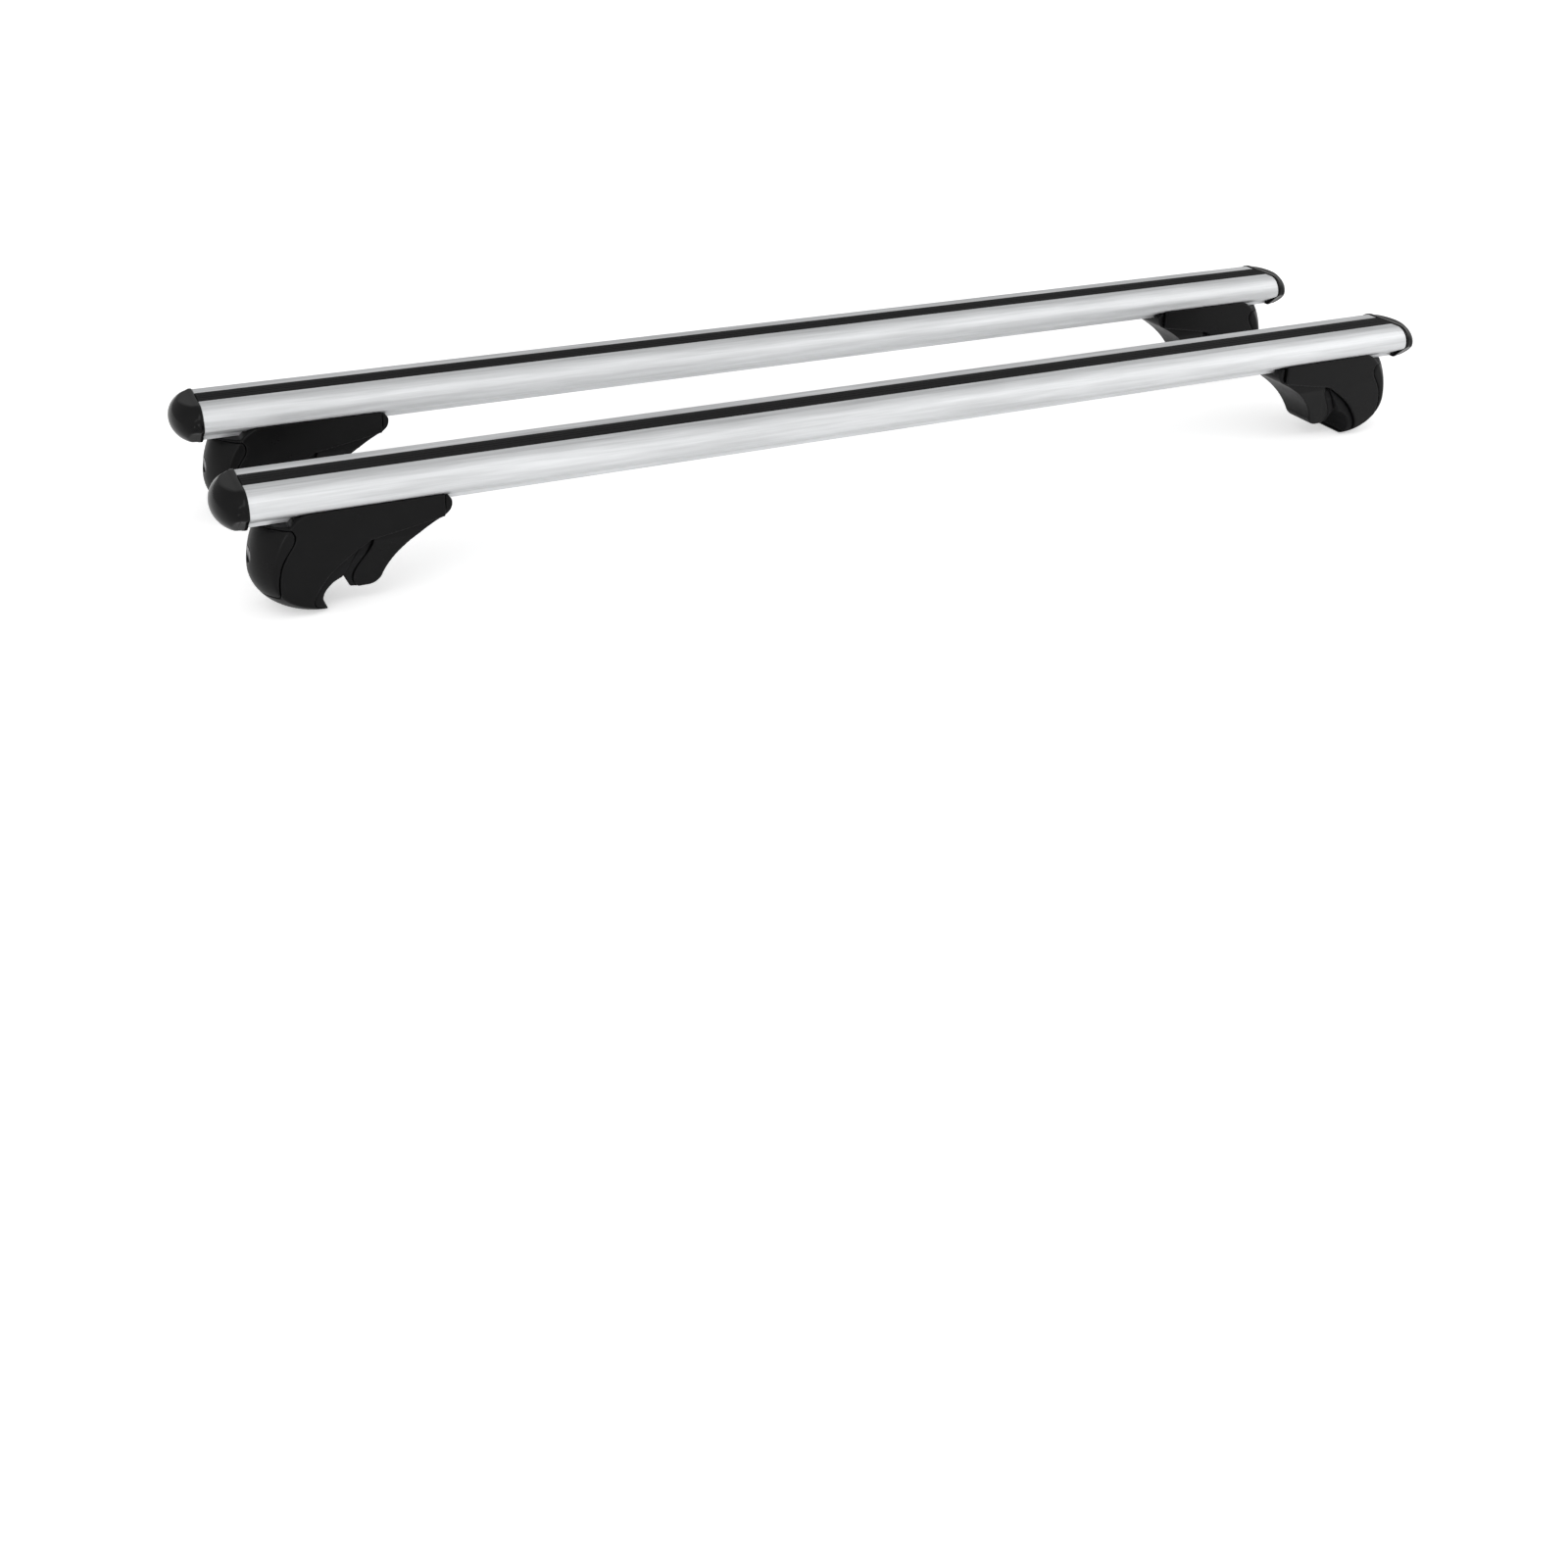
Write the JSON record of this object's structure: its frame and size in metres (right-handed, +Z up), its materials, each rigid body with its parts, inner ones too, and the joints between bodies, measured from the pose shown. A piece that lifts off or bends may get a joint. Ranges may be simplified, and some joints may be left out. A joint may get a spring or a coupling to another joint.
{
  "type": "roof cross bars",
  "caption": "Pair of aluminium roof cross bars with rubber top strips, domed end caps and lockable clamp feet that grip raised roof rails.",
  "frame": {"origin": "on the ground midway between the four feet, below the middle of the pair", "axes": "+X along the bars towards the right-hand feet, +Y from the front bar to the rear bar, +Z up"},
  "size_m": [1.25, 0.274, 0.117],
  "materials": {
    "bar_aluminium": "satin silver anodised, fine lines along the bar",
    "strip_rubber": "matt black, grooved lengthwise",
    "cap_plastic": "satin black moulding",
    "foot_plastic": "satin black fine-grained moulding",
    "pad_rubber": "matt black",
    "plated_steel": "bright zinc plate",
    "lock_metal": "satin nickel, lightly worn round the key slot"
  },
  "bodies": {
    "bars": {"front_cross_bar": "bar_aluminium", "front_slot_strip": "strip_rubber", "front_end_cap_left": "cap_plastic", "front_end_cap_right": "cap_plastic", "rear_cross_bar": "bar_aluminium", "rear_slot_strip": "strip_rubber", "rear_end_cap_left": "cap_plastic", "rear_end_cap_right": "cap_plastic"},
    "front_left_foot": {"front_left_foot_housing": "foot_plastic", "front_left_hook_pad": "pad_rubber", "front_left_slide_plate": "plated_steel", "front_left_plate_screws": "plated_steel", "front_left_bolt_washer": "plated_steel"},
    "front_left_bolt": {"front_left_clamp_bolt": "plated_steel"},
    "front_left_jaw": {"front_left_clamp_jaw": "foot_plastic", "front_left_jaw_pad": "pad_rubber", "front_left_jaw_nut": "plated_steel"},
    "front_left_cover": {"front_left_lock_cover": "foot_plastic"},
    "front_left_lock": {"front_left_lock_plug": "lock_metal", "front_left_lock_cam": "plated_steel"},
    "front_right_foot": {"front_right_foot_housing": "foot_plastic", "front_right_hook_pad": "pad_rubber", "front_right_slide_plate": "plated_steel", "front_right_plate_screws": "plated_steel", "front_right_bolt_washer": "plated_steel"},
    "front_right_bolt": {"front_right_clamp_bolt": "plated_steel"},
    "front_right_jaw": {"front_right_clamp_jaw": "foot_plastic", "front_right_jaw_pad": "pad_rubber", "front_right_jaw_nut": "plated_steel"},
    "front_right_cover": {"front_right_lock_cover": "foot_plastic"},
    "front_right_lock": {"front_right_lock_plug": "lock_metal", "front_right_lock_cam": "plated_steel"},
    "rear_left_foot": {"rear_left_foot_housing": "foot_plastic", "rear_left_hook_pad": "pad_rubber", "rear_left_slide_plate": "plated_steel", "rear_left_plate_screws": "plated_steel", "rear_left_bolt_washer": "plated_steel"},
    "rear_left_bolt": {"rear_left_clamp_bolt": "plated_steel"},
    "rear_left_jaw": {"rear_left_clamp_jaw": "foot_plastic", "rear_left_jaw_pad": "pad_rubber", "rear_left_jaw_nut": "plated_steel"},
    "rear_left_cover": {"rear_left_lock_cover": "foot_plastic"},
    "rear_left_lock": {"rear_left_lock_plug": "lock_metal", "rear_left_lock_cam": "plated_steel"},
    "rear_right_foot": {"rear_right_foot_housing": "foot_plastic", "rear_right_hook_pad": "pad_rubber", "rear_right_slide_plate": "plated_steel", "rear_right_plate_screws": "plated_steel", "rear_right_bolt_washer": "plated_steel"},
    "rear_right_bolt": {"rear_right_clamp_bolt": "plated_steel"},
    "rear_right_jaw": {"rear_right_clamp_jaw": "foot_plastic", "rear_right_jaw_pad": "pad_rubber", "rear_right_jaw_nut": "plated_steel"},
    "rear_right_cover": {"rear_right_lock_cover": "foot_plastic"},
    "rear_right_lock": {"rear_right_lock_plug": "lock_metal", "rear_right_lock_cam": "plated_steel"}
  },
  "joints": [
    {"name": "front_left_foot_slide", "type": "slide", "parent": "bars", "child": "front_left_foot", "axis": [1, 0, 0], "range_m": [0, 0.2]},
    {"name": "front_left_bolt_turn", "type": "hinge", "parent": "front_left_foot", "child": "front_left_bolt", "pos_m": [-0.58, -0.1, 0.0705], "axis": [1, 0, 0], "range_deg": [0, 10801]},
    {"name": "front_left_jaw_slide", "type": "slide", "parent": "front_left_foot", "child": "front_left_jaw", "axis": [1, 0, 0], "range_m": [0, 0.03]},
    {"name": "front_left_cover_pull", "type": "slide", "parent": "front_left_foot", "child": "front_left_cover", "axis": [-1, 0, 0], "range_m": [0, 0.045]},
    {"name": "front_left_lock_turn", "type": "hinge", "parent": "front_left_cover", "child": "front_left_lock", "pos_m": [-0.595, -0.1, 0.052], "axis": [1, 0, 0], "range_deg": [0, 90]},
    {"name": "front_right_foot_slide", "type": "slide", "parent": "bars", "child": "front_right_foot", "axis": [-1, 0, 0], "range_m": [0, 0.2]},
    {"name": "front_right_bolt_turn", "type": "hinge", "parent": "front_right_foot", "child": "front_right_bolt", "pos_m": [0.58, -0.1, 0.0705], "axis": [-1, 0, 0], "range_deg": [0, 10801]},
    {"name": "front_right_jaw_slide", "type": "slide", "parent": "front_right_foot", "child": "front_right_jaw", "axis": [-1, 0, 0], "range_m": [0, 0.03]},
    {"name": "front_right_cover_pull", "type": "slide", "parent": "front_right_foot", "child": "front_right_cover", "axis": [1, 0, 0], "range_m": [0, 0.045]},
    {"name": "front_right_lock_turn", "type": "hinge", "parent": "front_right_cover", "child": "front_right_lock", "pos_m": [0.595, -0.1, 0.052], "axis": [-1, 0, 0], "range_deg": [0, 90]},
    {"name": "rear_left_foot_slide", "type": "slide", "parent": "bars", "child": "rear_left_foot", "axis": [1, 0, 0], "range_m": [0, 0.2]},
    {"name": "rear_left_bolt_turn", "type": "hinge", "parent": "rear_left_foot", "child": "rear_left_bolt", "pos_m": [-0.58, 0.1, 0.0705], "axis": [1, 0, 0], "range_deg": [0, 10801]},
    {"name": "rear_left_jaw_slide", "type": "slide", "parent": "rear_left_foot", "child": "rear_left_jaw", "axis": [1, 0, 0], "range_m": [0, 0.03]},
    {"name": "rear_left_cover_pull", "type": "slide", "parent": "rear_left_foot", "child": "rear_left_cover", "axis": [-1, 0, 0], "range_m": [0, 0.045]},
    {"name": "rear_left_lock_turn", "type": "hinge", "parent": "rear_left_cover", "child": "rear_left_lock", "pos_m": [-0.595, 0.1, 0.052], "axis": [1, 0, 0], "range_deg": [0, 90]},
    {"name": "rear_right_foot_slide", "type": "slide", "parent": "bars", "child": "rear_right_foot", "axis": [-1, 0, 0], "range_m": [0, 0.2]},
    {"name": "rear_right_bolt_turn", "type": "hinge", "parent": "rear_right_foot", "child": "rear_right_bolt", "pos_m": [0.58, 0.1, 0.0705], "axis": [-1, 0, 0], "range_deg": [0, 10801]},
    {"name": "rear_right_jaw_slide", "type": "slide", "parent": "rear_right_foot", "child": "rear_right_jaw", "axis": [-1, 0, 0], "range_m": [0, 0.03]},
    {"name": "rear_right_cover_pull", "type": "slide", "parent": "rear_right_foot", "child": "rear_right_cover", "axis": [1, 0, 0], "range_m": [0, 0.045]},
    {"name": "rear_right_lock_turn", "type": "hinge", "parent": "rear_right_cover", "child": "rear_right_lock", "pos_m": [0.595, 0.1, 0.052], "axis": [-1, 0, 0], "range_deg": [0, 90]}
  ],
  "couplings": [
    {"joint": "front_left_bolt_turn", "follows": "front_left_jaw_slide", "rad_per_m": 6283.2},
    {"joint": "front_right_bolt_turn", "follows": "front_right_jaw_slide", "rad_per_m": 6283.2},
    {"joint": "rear_left_bolt_turn", "follows": "rear_left_jaw_slide", "rad_per_m": 6283.2},
    {"joint": "rear_right_bolt_turn", "follows": "rear_right_jaw_slide", "rad_per_m": 6283.2}
  ]
}
